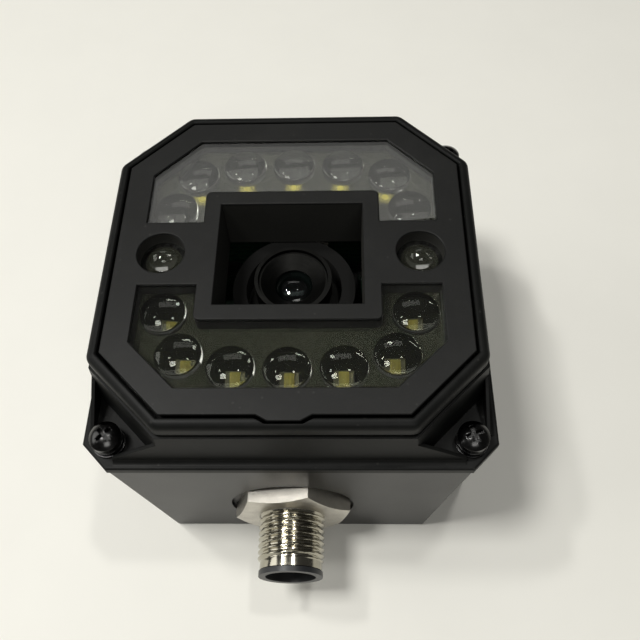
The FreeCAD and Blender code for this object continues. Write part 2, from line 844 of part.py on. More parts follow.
def connector_shell():
    hex_front = connector_seat + hex_thickness
    barrel_end = hex_front + barrel_length
    nut = hexagon(hex_across_flats, connector_seat, hex_front, connector_turn)
    corner = hex_across_flats / math.sqrt(3)
    flat = hex_across_flats / 2
    bevel = turned([(0, connector_seat), (corner, connector_seat), (corner, hex_front - hex_chamfer),
                    (flat, hex_front), (0, hex_front)])
    thread_end = barrel_end - nose_length
    barrel = turned([(0, hex_front), (barrel_radius, hex_front),
                     (barrel_radius, thread_end - (barrel_radius - nose_radius)),
                     (nose_radius, thread_end), (nose_radius, barrel_end), (0, barrel_end)])
    gland = cylinder(gland_radius, gland_end, connector_seat)
    groove = ring_washer(seal_radius + seal_width / 2, seal_radius - seal_width / 2,
                         connector_seat, connector_seat + seal_depth)
    bore = cylinder(barrel_bore_radius, gland_end, barrel_end)
    body = nut.common(bevel).multiFuse([barrel, gland])
    return facing_out(body.cut(Part.makeCompound([groove, bore])).removeSplitter())


def connector_seal():
    return facing_out(ring_washer(seal_radius + seal_width / 2, seal_radius - seal_width / 2,
                                  connector_seat, connector_seat + seal_depth))


def connector_nut():
    nut = hexagon(nut_across_flats, cavity_half - nut_thickness, cavity_half, nut_turn)
    bore = cylinder(gland_radius + thread_clearance, cavity_half - nut_thickness, cavity_half)
    return facing_out(nut.cut(bore))


def pin_places():
    rings = [(inner_pin_circle, inner_pin_count), (outer_pin_circle, outer_pin_count)]
    return [(radius * math.sin(2 * math.pi * k / count), radius * math.cos(2 * math.pi * k / count))
            for radius, count in rings for k in range(count)]


def insert_floor():
    return connector_seat + hex_thickness + barrel_length + insert_rim_length - insert_floor_depth


def all_pins():
    pin = cylinder(pin_radius, connector_board_back, insert_floor() + pin_length)
    return Part.makeCompound([moved(pin, x, y) for x, y in pin_places()])


def connector_insert():
    rim_back = connector_seat + hex_thickness + barrel_length
    mouth = rim_back + insert_rim_length
    outer = barrel_bore_radius - insert_clearance
    core = turned([(0, gland_end), (outer, gland_end), (outer, rim_back), (insert_rim_radius, rim_back),
                   (insert_rim_radius, mouth), (insert_mouth_radius, mouth),
                   (insert_mouth_radius, insert_floor()), (0, insert_floor())])
    return facing_out(core.cut(all_pins()))


def connector_pins():
    return facing_out(all_pins())


def connector_board_low():
    return main_board_top + io_socket_floor


def connector_board():
    low = connector_board_low()
    corner = V(connector_aside - connector_board_half_x, -connector_board_face, low)
    board = Part.makeBox(2 * connector_board_half_x, connector_board_thickness,
                         connector_height + connector_board_top - low, corner)
    return board.cut(connector_pins())


def io_socket():
    """Edge socket on the main board that holds the connector's own board."""
    lowest_pin = connector_height - outer_pin_circle - pin_radius
    top = lowest_pin - io_socket_clearance
    depth = connector_board_thickness + 2 * io_socket_wall
    corner = V(connector_aside - io_socket_half_x, -connector_board_face - io_socket_wall, main_board_top)
    body = Part.makeBox(2 * io_socket_half_x, depth, top - main_board_top, corner)
    return body.cut(connector_board())


def housing_parts():
    return {"rear_housing": rear_housing(),
            "front_cover": front_cover(),
            "cover_gasket": cover_gasket()}


def face_parts():
    return {"mask_plate": mask_plate(),
            "cover_glass": cover_glass(),
            "glass_frame": glass_frame(),
            "lens_window": lens_window(),
            "window_gasket": window_gasket(),
            "light_baffle": light_baffle(),
            "led_board": led_board(),
            "led_board_screws": led_board_screws(),
            "aimer_lens_left": aimer_lens(-1),
            "aimer_lens_right": aimer_lens(1),
            "aimer_led_left": aimer_led(-1),
            "aimer_led_right": aimer_led(1)}


def lamps():
    return {f"led_{number:02d}": lamp(x, y) for number, (x, y) in enumerate(lamp_places(), start=1)}


def camera_parts():
    return {"lens_barrel": lens_barrel(),
            "lens_front_ring": lens_front_ring(),
            "front_lens": front_lens(),
            "rear_lens": rear_lens(),
            "lens_lock_ring": lens_lock_ring(),
            "lens_holder": lens_holder(),
            "image_sensor": image_sensor(),
            "sensor_board": sensor_board(),
            "sensor_board_screws": sensor_board_screws(),
            "board_spacers": board_spacers(),
            "main_board": main_board()}


def connector_parts():
    return {"connector_shell": connector_shell(),
            "connector_insert": connector_insert(),
            "connector_pins": connector_pins(),
            "connector_seal": connector_seal(),
            "connector_nut": connector_nut(),
            "connector_board": connector_board(),
            "io_socket": io_socket()}


def main():
    os.makedirs("parts", exist_ok=True)
    groups = [housing_parts, cover_fasteners, face_parts, lamps, camera_parts,
              board_parts, led_link, connector_parts]
    for group in groups:
        for name, shape in group().items():
            shape.exportStep(f"parts/{name}.step")
            print(f"{name}: {len(shape.Solids)} solids, {shape.Volume:.1f} mm3, valid {shape.isValid()}")


main()
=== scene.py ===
import json
import math

import bmesh
import bpy
from bpy.props import (
    FloatProperty,
    FloatVectorProperty,
    IntProperty,
    PointerProperty,
)
from mathutils import Matrix, Quaternion, Vector


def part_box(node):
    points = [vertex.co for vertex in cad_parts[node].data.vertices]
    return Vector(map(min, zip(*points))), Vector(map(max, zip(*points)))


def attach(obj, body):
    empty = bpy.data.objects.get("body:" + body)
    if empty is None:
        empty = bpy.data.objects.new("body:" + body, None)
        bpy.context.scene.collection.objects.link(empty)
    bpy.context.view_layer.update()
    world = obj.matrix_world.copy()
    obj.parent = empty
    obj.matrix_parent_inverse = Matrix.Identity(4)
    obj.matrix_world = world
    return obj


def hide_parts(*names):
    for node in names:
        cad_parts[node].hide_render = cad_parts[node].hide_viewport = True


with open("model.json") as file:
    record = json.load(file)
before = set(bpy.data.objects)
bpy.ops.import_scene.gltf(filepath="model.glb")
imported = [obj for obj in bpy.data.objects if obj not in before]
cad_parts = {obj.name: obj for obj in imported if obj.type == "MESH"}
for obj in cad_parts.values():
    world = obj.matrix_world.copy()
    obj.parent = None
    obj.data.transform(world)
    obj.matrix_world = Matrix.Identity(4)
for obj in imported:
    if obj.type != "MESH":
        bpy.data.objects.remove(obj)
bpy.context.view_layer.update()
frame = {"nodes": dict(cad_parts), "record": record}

bl_info = {
    "name": "Barcode reader finish",
    "version": (1, 0, 0),
    "blender": (4, 5, 0),
    "location": "3D View > Sidebar > Reader",
    "description": "Finishes, lamp lenses, connector thread and studio stage of a barcode reader",
    "category": "Object",
}

NODES = frame["nodes"]

# Distances in metres: points closer than this are one, and what the barrel and hexagon overlap
WELD = 0.000002
BARREL_SINK = 0.0001
HEXAGON_TRIM = 0.00002
ROUNDING = 1e-7

# Colours of the dust, the lamps and the room
DUST_COLOUR = (0.42, 0.41, 0.38)
PANEL_COLOUR = (1.0, 0.99, 0.955)
ROOM_COLOUR = (1.0, 0.985, 0.94)


def colour(label, text, default):
    return FloatVectorProperty(name=label, description=text, subtype="COLOR", size=3,
                               min=0.0, max=1.0, default=default)


def length(label, text, default):
    return FloatProperty(name=label, description=text, unit="LENGTH", precision=5, default=default)


def share(label, text, default):
    return FloatProperty(name=label, description=text, subtype="FACTOR", min=0.0, max=1.0, default=default)


def angle(label, text, degrees):
    return FloatProperty(name=label, description=text, subtype="ANGLE", default=math.radians(degrees))


def refraction(label, text, default):
    return FloatProperty(name=label, description=text, min=1.0, max=2.2, default=default)


def power(label, text, watts):
    return FloatProperty(name=label, description=text, unit="POWER", min=0.0, default=watts)


def count(label, text, low, high, default):
    return IntProperty(name=label, description=text, min=low, max=high, default=default)


# Sizes and colours


class HousingFinish(bpy.types.PropertyGroup):
    """Outside shells and their seals"""

    body_colour: colour("Body", "Coat of the rear housing", (0.008, 0.008, 0.0076))
    cover_colour: colour("Cover", "Satin coat of the front cover", (0.006, 0.0063, 0.006))
    rubber_colour: colour("Rubber", "Seals between the shells", (0.010, 0.010, 0.010))
    body_roughness: share("Body roughness", "Gloss of the rear housing", 0.34)
    cover_roughness: share("Cover roughness", "Gloss of the front cover", 0.46)
    grain: length("Grain", "Size of the coat's grain", 0.00022)
    edge: length("Edge", "Rounding that catches light along the edges", 0.00022)
    body_sheen: share("Body sheen", "Strength of the rear housing's reflections", 0.36)
    cover_sheen: share("Cover sheen", "Strength of the front cover's reflections", 0.13)
    dust: share("Dust", "Specks lying on the coat", 0.04)


class FaceFinish(bpy.types.PropertyGroup):
    """Mask plate, clear plates and baffle"""

    mask_colour: colour("Mask", "Matte face plate", (0.006, 0.0062, 0.0058))
    mask_roughness: share("Mask roughness", "Gloss of the face plate", 0.46)
    mask_grain: length("Mask grain", "Size of the face plate's grain", 0.00026)
    baffle_colour: colour("Baffle", "Light baffle and frame behind the glass", (0.028, 0.028, 0.025))
    # Painted shade: factor that darkens the baffle's up-facing faces and the whole frame behind the glass.
    baffle_top_shade: share("Baffle top", "Tone of the frame and of what faces up on the baffle", 0.12)
    clear_colour: colour("Clear plate", "Tint of the clear mouldings", (0.97, 0.98, 0.95))
    clear_index: refraction("Clear index", "Refraction of the clear mouldings", 1.49)
    frost: share("Frost", "How much the flats between the lamp lenses are veiled", 0.70)
    frost_colour: colour("Frosted flats", "Flats between the lamp lenses", (0.0165, 0.017, 0.0125))
    # Painted glow: a fixed yellow spot in the flats beside each lamp of the far row, standing in for that
    # lamp's yellow showing through; these four settings give its colour, reach, place and lean.
    painted_glow_colour: colour("Lamp glow", "Flats through which a lamp of the far row shows", (0.24, 0.21, 0.045))
    painted_glow_reach: length("Glow reach", "How far a lamp's yellow spreads in the flats", 0.0019)
    painted_glow_offset: length("Glow offset", "How far past a lens's edge its lamp shows", 0.0006)
    painted_glow_from: length("Glow from", "Distance of the near point that the yellow leans to", 0.07)
    dome_radius: length("Lens radius", "Outside radius of a lamp lens", 0.00395)
    dome_curve: length("Lens curve", "Radius of a lamp lens's top", 0.0085)
    dome_shoulder: length("Lens shoulder", "Rounding between top and side of a lamp lens", 0.0008)
    dome_foot: length("Lens foot", "Height over the plate where a lens is set on", 0.0002)
    dome_rings: count("Lens rings", "Mesh rings on the top and on the shoulder", 4, 32, 12)
    dome_segments: count("Lens segments", "Mesh segments round a lens", 16, 128, 64)


class LampFinish(bpy.types.PropertyGroup):
    """Lamps and the board under them"""

    phosphor_colour: colour("Phosphor", "Gel over each lamp die", (0.042, 0.0345, 0.0009))
    package_colour: colour("Package", "Moulded body of each lamp", (0.011, 0.0094, 0.002))
    board_colour: colour("Lamp board", "Solder mask of the lamp board", (0.0014, 0.0015, 0.0008))
    aimer_colour: colour("Aimer lamp", "Clear epoxy of the aiming lamps", (0.16, 0.165, 0.15))
    aimer_index: refraction("Aimer index", "Refraction of the aiming lamps", 1.52)
    package_side: length("Package side", "Rim of a lamp beside its gel", 0.00055)
    package_end: length("Package end", "Rim of a lamp at the ends of its gel", 0.00006)
    gel_gap: length("Gel gap", "Play between a gel and its well", 0.00002)
    gel_thickness: length("Gel thickness", "Depth of a gel at its edge", 0.0001)
    gel_bulge: length("Gel bulge", "Height of a gel's crown over its edge", 0.00016)
    gel_cuts: count("Gel cuts", "Mesh cuts across a gel", 1, 12, 5)


class LensFinish(bpy.types.PropertyGroup):
    """Camera lens and its holder"""

    barrel_colour: colour("Barrel", "Black anodised barrel", (0.018, 0.018, 0.017))
    glass_colour: colour("Glass", "Tint of the coated glass", (0.34, 0.42, 0.41))
    glass_index: refraction("Glass index", "Refraction of the lenses", 1.52)
    turning: length("Turning marks", "Distance between the turning marks", 0.00030)


class BoardFinish(bpy.types.PropertyGroup):
    """Circuit boards and what stands on them"""

    mask_colour: colour("Solder mask", "Green of the inner boards", (0.004, 0.016, 0.008))
    track_colour: colour("Tracks", "Copper showing through the mask", (0.008, 0.030, 0.013))
    chip_colour: colour("Chips", "Moulded packages", (0.016, 0.016, 0.017))
    # Painted shade: the sockets are dimmed to a dull beige, darker than their white nylon, for their place
    # deep inside the reader.
    socket_colour: colour("Sockets", "Ribbon and its sockets", (0.24, 0.23, 0.20))
    track_pitch: length("Track pitch", "Distance between tracks", 0.0011)


class ConnectorFinish(bpy.types.PropertyGroup):
    """Round plug connector and the fasteners"""

    nickel_colour: colour("Nickel", "Plated hexagon", (0.66, 0.63, 0.57))
    # Painted shade: the turned barrel is a darker copy of the hexagon's nickel, standing in for the shade
    # in its thread's troughs.
    barrel_colour: colour("Turned nickel", "Plated barrel", (0.47, 0.445, 0.37))
    steel_colour: colour("Steel", "Inner screws and spacers", (0.55, 0.55, 0.54))
    screw_colour: colour("Black screws", "Blackened cover screws", (0.070, 0.070, 0.070))
    gold_colour: colour("Gold", "Plated pins", (0.84, 0.62, 0.24))
    insert_colour: colour("Insert", "Black moulded insert", (0.016, 0.017, 0.019))
    hexagon_turn: angle("Hexagon turn", "Turn of the tightened hexagon past its drawn place", 8.5)
    barrel_length: length("Barrel", "Barrel in front of the hexagon", 0.0098)
    bore_radius: length("Bore", "Inside radius of the barrel", 0.0050)
    crest_radius: length("Crest", "Outside radius of the thread", 0.0060)
    thread_depth: length("Thread depth", "Crest to root of the thread", 0.00044)
    thread_pitch: length("Pitch", "Distance between two turns of the thread", 0.0011)
    crest_share: share("Crest share", "Part of the pitch that is level at the crest", 0.14)
    flank_share: share("Flank share", "Part of the pitch that both flanks take", 0.62)
    neck_radius: length("Neck", "Plain neck between hexagon and thread", 0.0060)
    neck_length: length("Neck length", "Length of the plain neck", 0.0004)
    nose_radius: length("Nose", "Plain nose in front of the thread", 0.0056)
    nose_length: length("Nose length", "Length of the plain nose", 0.0015)
    nose_chamfer: length("Nose chamfer", "Chamfer at the mouth", 0.00015)
    rows_per_turn: count("Rows per turn", "Mesh rows along one pitch", 6, 24, 14)
    segments: count("Segments", "Mesh segments round the barrel", 24, 192, 112)


class StageSettings(bpy.types.PropertyGroup):
    """Floor, lights and camera"""

    floor_colour: colour("Floor", "Pale table top", (0.84, 0.83, 0.775))
    floor_half: length("Floor size", "Half the width of the table top", 1.6)
    world_strength: FloatProperty(name="Room light", description="Even light from all round",
                                  min=0.0, default=0.06)
    key_energy: power("Key panel", "Soft ceiling panel on the left", 2.0)
    left_energy: power("Left lamp", "Small ceiling lamp on the left", 1.6)
    side_energy: power("Side card", "Soft card on the left", 2.4)
    right_energy: power("Right lamp", "Small ceiling lamp on the right", 1.3)
    far_energy: power("Far card", "Soft card behind the reader", 0.45)
    near_energy: power("Near card", "Soft card over the near side", 1.8)
    light_height: length("Light height", "Height of the point that the lights aim at", 0.04)
    camera_place: FloatVectorProperty(name="Camera", description="Where the camera stands",
                                      subtype="TRANSLATION", unit="LENGTH", size=3, precision=5,
                                      default=(0.00894, -0.07280, 0.15040))
    azimuth: angle("Azimuth", "Turn of the camera about the upright", 3.54)
    elevation: angle("Elevation", "Camera's height angle", 59.9)
    roll: angle("Roll", "Turn of the picture", -3.4)
    sensor_width: FloatProperty(name="Sensor", description="Width of the camera's sensor in millimetres",
                                min=1.0, default=36.0)
    focal_length: FloatProperty(name="Focal length", description="Focal length in millimetres",
                                min=10.0, default=41.34)


# Shader building


def add(tree, kind, inputs=None, **settings):
    """Node of that kind, with its settings and the values or links of its sockets."""
    made = tree.nodes.new(kind)
    for name, value in settings.items():
        setattr(made, name, value)
    for name, value in (inputs or {}).items():
        if isinstance(value, bpy.types.NodeSocket):
            tree.links.new(value, made.inputs[name])
        else:
            made.inputs[name].default_value = value
    return made


def math_node(tree, operation, first, second=0.0, clamp=False):
    """Result of one sum on two values."""
    made = add(tree, "ShaderNodeMath", {0: first, 1: second}, operation=operation, use_clamp=clamp)
    return made.outputs[0]


def blend_colour(tree, factor, first, second, kind="MIX"):
    """Colour between two others. The mix node keeps its colours in sockets 6, 7 and 2."""
    made = add(tree, "ShaderNodeMix", {0: factor, 6: first, 7: second}, data_type="RGBA", blend_type=kind)
    return made.outputs[2]


def blend_value(tree, factor, first, second):
    """Value between two others."""
    made = add(tree, "ShaderNodeMix", {0: factor, 2: first, 3: second}, data_type="FLOAT")
    return made.outputs[0]


def spread(tree, value, low, high, out_low=0.0, out_high=1.0):
    """Value moved from one range to another and held inside it."""
    made = add(tree, "ShaderNodeMapRange", {"Value": value, "From Min": low, "From Max": high,
                                            "To Min": out_low, "To Max": out_high})
    return made.outputs["Result"]


def place_of(tree):
    """Place on the reader, in metres."""
    return add(tree, "ShaderNodeTexCoord").outputs["Object"]


def rgba(values):
    return (*values, 1.0)


def toned(tint, factor):
    """The same colour, darker or lighter."""
    return tuple(factor * c for c in tint)


def effect(name, inputs, outputs):
    """Empty node group with those sockets; gives its tree, its input node and its output node."""
    tree = bpy.data.node_groups.new(name, "ShaderNodeTree")
    kinds = {"value": "NodeSocketFloat", "colour": "NodeSocketColor", "vector": "NodeSocketVector"}
    for socket, kind, default in inputs:
        made = tree.interface.new_socket(name=socket, in_out="INPUT", socket_type=kinds[kind])
        made.default_value = default
    for socket, kind in outputs:
        tree.interface.new_socket(name=socket, in_out="OUTPUT", socket_type=kinds[kind])
    return tree, tree.nodes.new("NodeGroupInput").outputs, tree.nodes.new("NodeGroupOutput").inputs


def send(tree, outputs, **values):
    """Links values to a group's outputs by name."""
    for name, socket in values.items():
        tree.links.new(socket, outputs[name])


def moulded_grain():
    """Fine grain with slow patches: a mottled colour, an uneven gloss and a height."""
    tree, given, out = effect("moulded_grain", [
        ("Colour", "colour", (0.02, 0.02, 0.02, 1)), ("Scale", "value", 4000.0), ("Mottle", "value", 0.2),
        ("Roughness", "value", 0.5), ("Uneven", "value", 0.06)],
        [("Colour", "colour"), ("Roughness", "value"), ("Height", "value")])
    place = place_of(tree)
    fine = add(tree, "ShaderNodeTexNoise", {"Vector": place, "Scale": given["Scale"], "Detail": 3.0,
                                            "Roughness": 0.6}).outputs["Fac"]
    slow_scale = math_node(tree, "MULTIPLY", given["Scale"], 0.02)
    slow = add(tree, "ShaderNodeTexNoise", {"Vector": place, "Scale": slow_scale, "Detail": 4.0,
                                            "Roughness": 0.55, "Distortion": 0.4}).outputs["Fac"]
    both = blend_value(tree, 0.4, fine, slow)
    swing = math_node(tree, "MULTIPLY", math_node(tree, "SUBTRACT", both, 0.5), given["Mottle"])
    gain = math_node(tree, "ADD", math_node(tree, "MULTIPLY", swing, 4.0), 1.0)
    grey = add(tree, "ShaderNodeCombineColor", {"Red": gain, "Green": gain, "Blue": gain}).outputs["Color"]
    mottled = blend_colour(tree, 1.0, given["Colour"], grey, "MULTIPLY")
    uneven = math_node(tree, "MULTIPLY", math_node(tree, "SUBTRACT", slow, 0.5), given["Uneven"])
    gloss = math_node(tree, "ADD", given["Roughness"], uneven, True)
    send(tree, out, Colour=mottled, Roughness=gloss, Height=fine)
    return tree


def settled_dust():
    """Mask of fine specks on what faces up."""
    tree, given, out = effect("settled_dust", [("Amount", "value", 0.2), ("Scale", "value", 900.0)],
                              [("Mask", "value")])
    coordinates = add(tree, "ShaderNodeTexCoord")
    place = coordinates.outputs["Object"]
    cells = add(tree, "ShaderNodeTexVoronoi", {"Vector": place, "Scale": given["Scale"], "Randomness": 1.0})
    chosen = add(tree, "ShaderNodeSeparateColor", {"Color": cells.outputs["Color"]}).outputs["Red"]
    some = math_node(tree, "GREATER_THAN", chosen, 0.90)
    size = spread(tree, cells.outputs["Distance"], 0.10, 0.26, 1.0, 0.0)
    film = add(tree, "ShaderNodeTexNoise", {"Vector": place, "Scale": 120.0, "Detail": 5.0,
                                            "Roughness": 0.7}).outputs["Fac"]
    haze = spread(tree, film, 0.48, 0.80, 0.0, 0.35)
    up = add(tree, "ShaderNodeSeparateXYZ", {"Vector": coordinates.outputs["Normal"]}).outputs["Z"]
    facing = spread(tree, up, 0.2, 0.9)
    both = math_node(tree, "MAXIMUM", math_node(tree, "MULTIPLY", size, some), haze)
    mask = math_node(tree, "MULTIPLY", math_node(tree, "MULTIPLY", both, facing), given["Amount"], True)
    send(tree, out, Mask=mask)
    return tree


def machined_lines():
    """Fine scratches drawn out along one axis over an uneven plating."""
    tree, given, out = effect("machined_lines", [
        ("Stretch", "vector", (4000.0, 400.0, 4000.0)), ("Roughness", "value", 0.2),
        ("Uneven", "value", 0.1)], [("Roughness", "value"), ("Height", "value"), ("Tone", "value")])
    place = place_of(tree)
    drawn = add(tree, "ShaderNodeVectorMath", {0: place, 1: given["Stretch"]},
                operation="MULTIPLY").outputs[0]
    lines = add(tree, "ShaderNodeTexNoise", {"Vector": drawn, "Scale": 1.0, "Detail": 3.0,
                                             "Roughness": 0.65}).outputs["Fac"]
    stain = add(tree, "ShaderNodeTexNoise", {"Vector": place, "Scale": 420.0, "Detail": 4.0,
                                             "Roughness": 0.6}).outputs["Fac"]
    gloss = math_node(tree, "MULTIPLY", math_node(tree, "SUBTRACT", lines, 0.45), given["Uneven"])
    send(tree, out, Roughness=math_node(tree, "ADD", given["Roughness"], gloss, True), Height=lines,
         Tone=spread(tree, stain, 0.3, 0.75))
    return tree


def board_tracks():
    """Tracks under a solder mask: a mask and a height."""
    tree, given, out = effect("board_tracks", [("Pitch", "value", 900.0)],
                              [("Mask", "value"), ("Height", "value")])
    place = place_of(tree)
    cells = add(tree, "ShaderNodeTexVoronoi", {"Vector": place, "Scale": given["Pitch"],
                                               "Randomness": 0.35}, distance="MANHATTAN", feature="F1")
    lanes = add(tree, "ShaderNodeTexBrick", {
        "Vector": place, "Scale": given["Pitch"], "Mortar Size": 0.22, "Mortar Smooth": 0.1,
        "Brick Width": 2.7, "Row Height": 1.0}).outputs["Fac"]
    vias = spread(tree, cells.outputs["Distance"], 0.12, 0.17, 1.0, 0.0)
    both = math_node(tree, "MAXIMUM", lanes, vias)
    send(tree, out, Mask=both, Height=both)
    return tree


EFFECTS = {}


def place_effect(tree, maker, inputs):
    """Puts a shared effect into a material, building it the first time."""
    if maker.__name__ not in EFFECTS:
        EFFECTS[maker.__name__] = maker()
    return add(tree, "ShaderNodeGroup", inputs, node_tree=EFFECTS[maker.__name__]).outputs


def start_material(name, **values):
    """Material with a Principled shader; gives the material, its tree and the shader."""
    material = bpy.data.materials.new(name)
    material.use_nodes = True
    tree = material.node_tree
    tree.nodes.clear()
    shader = add(tree, "ShaderNodeBsdfPrincipled", {k.replace("_", " ").title().replace("Ior", "IOR"): v
                                                    for k, v in values.items()})
    out = add(tree, "ShaderNodeOutputMaterial")
    tree.links.new(shader.outputs[0], out.inputs["Surface"])
    return material, tree, shader


def bump(tree, shader, height, distance, edge=0.0):
    """Grain height into the normal, over edges rounded by the radius edge."""
    made = add(tree, "ShaderNodeBump", {"Height": height, "Distance": distance, "Strength": 1.0})
    if edge:
        rounded = add(tree, "ShaderNodeBevel", {"Radius": edge}, samples=6)
        tree.links.new(rounded.outputs[0], made.inputs["Normal"])
    tree.links.new(made.outputs[0], shader.inputs["Normal"])


def facing_up(tree):
    """Mask of what faces up."""
    normal = add(tree, "ShaderNodeTexCoord").outputs["Normal"]
    up = add(tree, "ShaderNodeSeparateXYZ", {"Vector": normal}).outputs["Z"]
    return spread(tree, up, 0.4, 0.8)


def moulding(name, tint, roughness, grain, depth=0.00001, mottle=0.2, uneven=0.08, dust=0.0, edge=0.0,
             top=1.0, **values):
    """Moulded or coated surface: grain, uneven gloss, a little dust, and painted shade that tones what
    faces up by the factor top.
    """
    material, tree, shader = start_material(name, **values)
    skin = place_effect(tree, moulded_grain, {"Colour": rgba(tint), "Scale": 1.0 / grain, "Mottle": mottle,
                                              "Roughness": roughness, "Uneven": uneven})
    base = skin["Colour"]
    # Painted shade: where top is not one, what faces up gets the tint times top.
    if top != 1.0:
        base = blend_colour(tree, facing_up(tree), base, rgba(toned(tint, top)))
    if dust:
        specks = place_effect(tree, settled_dust, {"Amount": dust})["Mask"]
        base = blend_colour(tree, specks, base, rgba(DUST_COLOUR))
    tree.links.new(base, shader.inputs["Base Color"])
    tree.links.new(skin["Roughness"], shader.inputs["Roughness"])
    bump(tree, shader, skin["Height"], depth, edge)
    return material


def plated(name, tint, shade, roughness, stretch, depth=0.000004, uneven=0.25, edge=0.0):
    """Metal with drawn-out tool marks; its uneven plating is as dark as shade times the tint."""
    material, tree, shader = start_material(name, metallic=1.0)
    marks = place_effect(tree, machined_lines, {"Stretch": stretch, "Roughness": roughness,
                                                "Uneven": uneven})
    base = blend_colour(tree, marks["Tone"], rgba(toned(tint, shade)), rgba(tint))
    tree.links.new(base, shader.inputs["Base Color"])
    tree.links.new(marks["Roughness"], shader.inputs["Roughness"])
    bump(tree, shader, marks["Height"], depth, edge)
    return material


def frosted_band(tree, height, frost):
    """Share of the veil: frost on what lies level at that height, none elsewhere."""
    z = add(tree, "ShaderNodeSeparateXYZ", {"Vector": place_of(tree)}).outputs["Z"]
    off = math_node(tree, "ABSOLUTE", math_node(tree, "SUBTRACT", z, height))
    return spread(tree, off, 0.00003, 0.00005, frost, 0.0)


def fading_spots(tree, spots, reach):
    """Mask that is one at each spot and fades to nothing at that reach."""
    place = place_of(tree)
    nearest = reach
    for spot in spots:
        gap = add(tree, "ShaderNodeVectorMath", {0: place, 1: spot}, operation="DISTANCE").outputs["Value"]
        nearest = math_node(tree, "MINIMUM", gap, nearest)
    return spread(tree, nearest, 0.2 * reach, reach, 1.0, 0.0)


def frosted_flats(tree, clear, finish):
    """Veils the level flats of the lens plate, with a painted yellow glow beside each lamp of the far row,
    standing in for that lamp's yellow showing through them.
    """
    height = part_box("glass_frame")[0].z
    skin = place_effect(tree, moulded_grain, {"Colour": rgba(finish.frost_colour), "Scale": 250.0,
                                              "Mottle": 0.15, "Roughness": 0.6})
    # Painted glow: for each lamp of the far row, a spot just past its lens on the side towards a near
    # point, fading out over the reach.
    spots = []
    for centre in (middle(lamp) for lamp in nodes_in("lamp_yellow")):
        if centre.y > 0.0:
            near = Vector((-centre.x, -finish.painted_glow_from - centre.y, 0.0)).normalized()
            near *= finish.dome_radius + finish.painted_glow_offset
            spots.append((centre.x + near.x, centre.y + near.y, height))
    tone = blend_colour(tree, fading_spots(tree, spots, finish.painted_glow_reach), skin["Colour"],
                        rgba(finish.painted_glow_colour))
    flats = add(tree, "ShaderNodeBsdfPrincipled", {"Base Color": tone, "Roughness": skin["Roughness"],
                                                   "Specular IOR Level": 0.0})
    return add(tree, "ShaderNodeMixShader", {0: frosted_band(tree, height, finish.frost), 1: clear,
                                             2: flats.outputs[0]}).outputs[0]


def clear_moulding(name, tint, index, roughness, grain, wave=0.0000015, veil=None, **values):
    """Clear plastic or glass that lets light through to what lies behind, under a veil if one is given."""
    material, tree, shader = start_material(name, base_color=rgba(tint), transmission_weight=1.0,
                                            ior=index, **values)
    skin = place_effect(tree, moulded_grain, {"Scale": 1.0 / grain, "Roughness": roughness,
                                              "Uneven": roughness})
    tree.links.new(skin["Roughness"], shader.inputs["Roughness"])
    bump(tree, shader, skin["Height"], wave)
    surface = veil(tree, shader.outputs[0]) if veil else shader.outputs[0]
    out = next(n for n in tree.nodes if n.type == "OUTPUT_MATERIAL")
    through = add(tree, "ShaderNodeBsdfTransparent", {"Color": rgba(tint)})
    shadow = add(tree, "ShaderNodeLightPath").outputs["Is Shadow Ray"]
    mixed = add(tree, "ShaderNodeMixShader", {0: shadow, 1: surface, 2: through.outputs[0]})
    tree.links.new(mixed.outputs[0], out.inputs["Surface"])
    return material


def circuit_board(name, mask, track, pitch, roughness, gloss):
    """Board with tracks under its solder mask; gloss is the strength of its sheen."""
    material, tree, shader = start_material(name, specular_ior_level=gloss)
    tracks = place_effect(tree, board_tracks, {"Pitch": 1.0 / pitch})
    skin = place_effect(tree, moulded_grain, {"Colour": rgba(mask), "Scale": 2500.0, "Mottle": 0.15,
                                              "Roughness": roughness, "Uneven": 0.1})
    base = blend_colour(tree, tracks["Mask"], skin["Colour"], rgba(track))
    tree.links.new(base, shader.inputs["Base Color"])
    tree.links.new(skin["Roughness"], shader.inputs["Roughness"])
    bump(tree, shader, tracks["Height"], 0.00002)
    return material


# Pieces


def nodes_in(slot):
    """Names of the CAD nodes that take their finish from a slot of the record."""
    found = [s["node"] for s in frame["record"]["subparts"] if s["material_slot"] == slot]
    if not found:
        raise RuntimeError(f"the record has no node in the slot {slot}")
    return found


def dress_node(material, name):
    """Gives one CAD node a material."""
    mesh = NODES[name].data
    mesh.materials.clear()
    mesh.materials.append(material)


def dress(material, slot):
    """Gives all CAD nodes of a slot a material."""
    for name in nodes_in(slot):
        dress_node(material, name)


def finished_piece(bm, name, materials, smooth_angle=32.0):
    """Puts a bmesh into the scene as a smooth piece of the reader."""
    bmesh.ops.remove_doubles(bm, verts=bm.verts[:], dist=WELD)
    bmesh.ops.recalc_face_normals(bm, faces=bm.faces[:])
    bm.normal_update()
    for face in bm.faces:
        face.smooth = True
    for edge in bm.edges:
        edge.smooth = edge.calc_face_angle(math.pi) < math.radians(smooth_angle)
    mesh = bpy.data.meshes.new(name)
    bm.to_mesh(mesh)
    bm.free()
    for material in materials:
        mesh.materials.append(material)
    piece = bpy.data.objects.new(name, mesh)
    bpy.context.scene.collection.objects.link(piece)
    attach(piece, "root")
    return piece


def middle(node):
    """Middle of a node's box."""
    low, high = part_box(node)
    return (low + high) / 2


